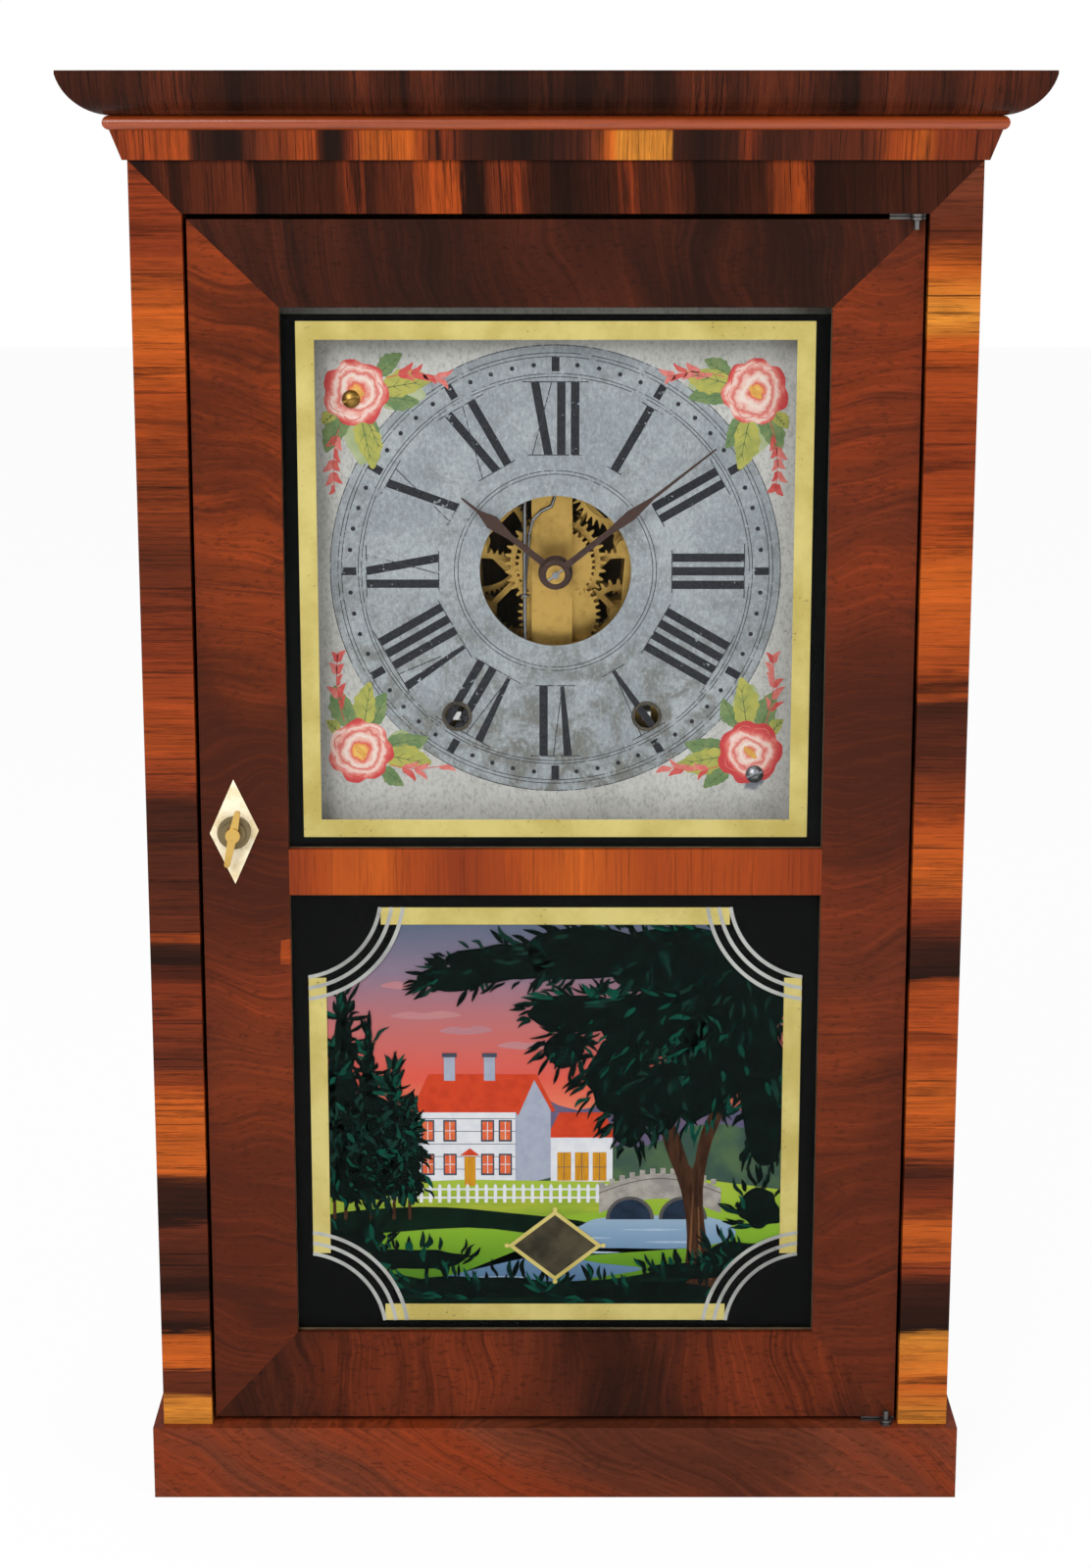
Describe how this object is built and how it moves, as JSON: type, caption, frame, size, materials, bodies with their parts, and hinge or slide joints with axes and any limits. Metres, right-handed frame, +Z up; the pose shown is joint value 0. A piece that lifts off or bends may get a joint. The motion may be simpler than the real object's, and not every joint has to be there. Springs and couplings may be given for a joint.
{
  "type": "shelf clock",
  "caption": "Wall-deep shelf clock: bevelled wooden door with two panes, cornice, plinth, dial with hands, and a weight-driven striking movement with pendulum and gong.",
  "frame": {"origin": "centre of the bounding box, on the surface the clock stands on", "axes": "+Z up, +X to the right of someone who faces the clock; the door and dial face -Y"},
  "size_m": [0.4068, 0.1374, 0.635],
  "materials": {
    "rosewood": "gloss",
    "dark_veneer": "gloss",
    "mahogany": "gloss",
    "pine": "satin",
    "brass": "satin",
    "steel": "satin",
    "iron": "matt",
    "paint_dial": "matt",
    "hand_steel": "satin",
    "clear_glass": "gloss",
    "painted_glass": "gloss",
    "putty": "matt",
    "bone": "satin",
    "cord": "matt"
  },
  "bodies": {
    "case": {"backboard": "pine", "case_sides": "mahogany", "top_board": "pine", "bottom_board": "pine", "front_stiles": "rosewood", "frieze_rail": "dark_veneer", "canted_fascia": "rosewood", "bead": "mahogany", "cornice": "dark_veneer", "plinth": "mahogany", "hinge_plates": "steel", "dial": "paint_dial", "dial_cleats": "pine", "dial_screws": "brass", "winding_grommets": "brass", "front_plate": "brass", "rear_plate": "brass", "plate_pins": "steel", "gong_stand": "iron", "gong_wire": "steel", "pulley_brackets": "steel", "cord_runs": "cord"},
    "door": {"door_stile_left": "rosewood", "door_stile_right": "rosewood", "door_rails": "dark_veneer", "door_cross_rail": "mahogany", "upper_glass": "clear_glass", "lower_tablet": "painted_glass", "glass_putty": "putty", "door_hinges": "steel", "escutcheon": "bone", "latch_rose": "brass"},
    "latch": {"latch_turn": "brass"},
    "minute_arbor": {"centre_arbor": "steel", "minute_hand": "hand_steel", "hand_pin": "steel"},
    "minute_wheel": {"minute_wheel": "brass"},
    "hour_work": {"hour_wheel": "brass", "hour_hand": "hand_steel"},
    "time_great": {"time_great_wheel": "brass"},
    "time_drum": {"time_drum": "pine"},
    "time_second": {"time_second_wheel": "brass"},
    "centre_wheel": {"centre_wheel": "brass"},
    "time_third": {"time_third_wheel": "brass"},
    "escape": {"escape_wheel": "brass"},
    "verge": {"verge": "steel"},
    "pendulum": {"pendulum_rod": "steel", "pendulum_bob": "brass"},
    "strike_great": {"strike_great_wheel": "brass"},
    "strike_drum": {"strike_drum": "pine"},
    "strike_second": {"strike_second_wheel": "brass"},
    "strike_third": {"strike_third_wheel": "brass"},
    "fly": {"fly": "brass"},
    "hammer": {"hammer": "steel"},
    "time_weight": {"time_weight": "iron", "time_cord": "cord"},
    "time_pulley": {"time_pulley": "pine"},
    "strike_weight": {"strike_weight": "iron", "strike_cord": "cord"},
    "strike_pulley": {"strike_pulley": "pine"}
  },
  "joints": [
    {"name": "door_hinge", "type": "hinge", "parent": "case", "child": "door", "pos_m": [0.1505, -0.0433, 0.3], "axis": [0, 0, 1], "range_deg": [0, 110]},
    {"name": "latch_turn", "type": "hinge", "parent": "door", "child": "latch", "pos_m": [-0.1405, -0.0313, 0.31], "axis": [0, 1, 0], "range_deg": [0, 90]},
    {"name": "hand_setting", "type": "hinge", "parent": "case", "child": "minute_arbor", "pos_m": [0, 0.0067, 0.421], "axis": [0, 1, 0], "continuous": true},
    {"name": "minute_wheel_spin", "type": "hinge", "parent": "case", "child": "minute_wheel", "pos_m": [0.00177, 0.0097, 0.39857], "axis": [0, 1, 0], "continuous": true},
    {"name": "hour_spin", "type": "hinge", "parent": "case", "child": "hour_work", "pos_m": [0, 0.0067, 0.421], "axis": [0, 1, 0], "continuous": true},
    {"name": "time_great_spin", "type": "hinge", "parent": "case", "child": "time_great", "pos_m": [0.0404, 0.0317, 0.35625], "axis": [0, 1, 0], "continuous": true},
    {"name": "time_second_spin", "type": "hinge", "parent": "case", "child": "time_second", "pos_m": [0.02809, 0.0217, 0.39849], "axis": [0, 1, 0], "continuous": true},
    {"name": "centre_wheel_spin", "type": "hinge", "parent": "case", "child": "centre_wheel", "pos_m": [0, 0.0137, 0.421], "axis": [0, 1, 0], "continuous": true},
    {"name": "time_third_spin", "type": "hinge", "parent": "case", "child": "time_third", "pos_m": [0.03108, 0.0217, 0.42895], "axis": [0, 1, 0], "continuous": true},
    {"name": "escape_spin", "type": "hinge", "parent": "case", "child": "escape", "pos_m": [0.02396, 0.0167, 0.45499], "axis": [0, 1, 0], "continuous": true},
    {"name": "pendulum_swing", "type": "hinge", "parent": "case", "child": "pendulum", "pos_m": [-0.0135, -0.0023, 0.477], "axis": [0, 1, 0], "range_deg": [-4, 4]},
    {"name": "verge_rock", "type": "hinge", "parent": "case", "child": "verge", "pos_m": [0.00593, -0.0003, 0.46959], "axis": [0, 1, 0], "range_deg": [-5.2, 5.2]},
    {"name": "strike_great_spin", "type": "hinge", "parent": "case", "child": "strike_great", "pos_m": [-0.0435, 0.0317, 0.35625], "axis": [0, 1, 0], "continuous": true},
    {"name": "strike_second_spin", "type": "hinge", "parent": "case", "child": "strike_second", "pos_m": [-0.0312, 0.0217, 0.39849], "axis": [0, 1, 0], "continuous": true},
    {"name": "strike_third_spin", "type": "hinge", "parent": "case", "child": "strike_third", "pos_m": [-0.03418, 0.0217, 0.42895], "axis": [0, 1, 0], "continuous": true},
    {"name": "fly_spin", "type": "hinge", "parent": "case", "child": "fly", "pos_m": [-0.02706, 0.0167, 0.45499], "axis": [0, 1, 0], "continuous": true},
    {"name": "hammer_swing", "type": "hinge", "parent": "case", "child": "hammer", "pos_m": [-0.047, 0.0267, 0.45699], "axis": [0, 1, 0], "range_deg": [0, 8]},
    {"name": "time_weight_lift", "type": "slide", "parent": "case", "child": "time_weight", "axis": [0, 0, 1], "range_m": [0, 0.33], "deforming": ["time_cord"]},
    {"name": "time_drum_spin", "type": "hinge", "parent": "case", "child": "time_drum", "pos_m": [0.0404, 0.0187, 0.35625], "axis": [0, 1, 0], "range_deg": [-1725, 0]},
    {"name": "time_pulley_spin", "type": "hinge", "parent": "case", "child": "time_pulley", "pos_m": [0.126, 0.0232, 0.566], "axis": [0, 1, 0], "range_deg": [-1580, 0]},
    {"name": "strike_weight_lift", "type": "slide", "parent": "case", "child": "strike_weight", "axis": [0, 0, 1], "range_m": [0, 0.33], "deforming": ["strike_cord"]},
    {"name": "strike_drum_spin", "type": "hinge", "parent": "case", "child": "strike_drum", "pos_m": [-0.0435, 0.0187, 0.35625], "axis": [0, 1, 0], "range_deg": [0, 1725]},
    {"name": "strike_pulley_spin", "type": "hinge", "parent": "case", "child": "strike_pulley", "pos_m": [-0.126, 0.0232, 0.566], "axis": [0, 1, 0], "range_deg": [0, 1580]}
  ],
  "couplings": [
    {"joint": "minute_wheel_spin", "follows": "hand_setting", "ratio": -0.27778},
    {"joint": "hour_spin", "follows": "hand_setting", "ratio": 0.083333},
    {"joint": "time_second_spin", "follows": "time_great_spin", "ratio": -10},
    {"joint": "centre_wheel_spin", "follows": "time_great_spin", "ratio": 6.6667},
    {"joint": "time_third_spin", "follows": "time_great_spin", "ratio": 80},
    {"joint": "escape_spin", "follows": "time_great_spin", "ratio": -640},
    {"joint": "verge_rock", "follows": "pendulum_swing", "ratio": 1.2},
    {"joint": "strike_second_spin", "follows": "strike_great_spin", "ratio": -10},
    {"joint": "strike_third_spin", "follows": "strike_great_spin", "ratio": 80},
    {"joint": "fly_spin", "follows": "strike_great_spin", "ratio": -640},
    {"joint": "time_drum_spin", "follows": "time_weight_lift", "rad_per_m": -90.909},
    {"joint": "time_pulley_spin", "follows": "time_weight_lift", "rad_per_m": -83.333},
    {"joint": "strike_drum_spin", "follows": "strike_weight_lift", "rad_per_m": 90.909},
    {"joint": "strike_pulley_spin", "follows": "strike_weight_lift", "rad_per_m": 83.333}
  ]
}
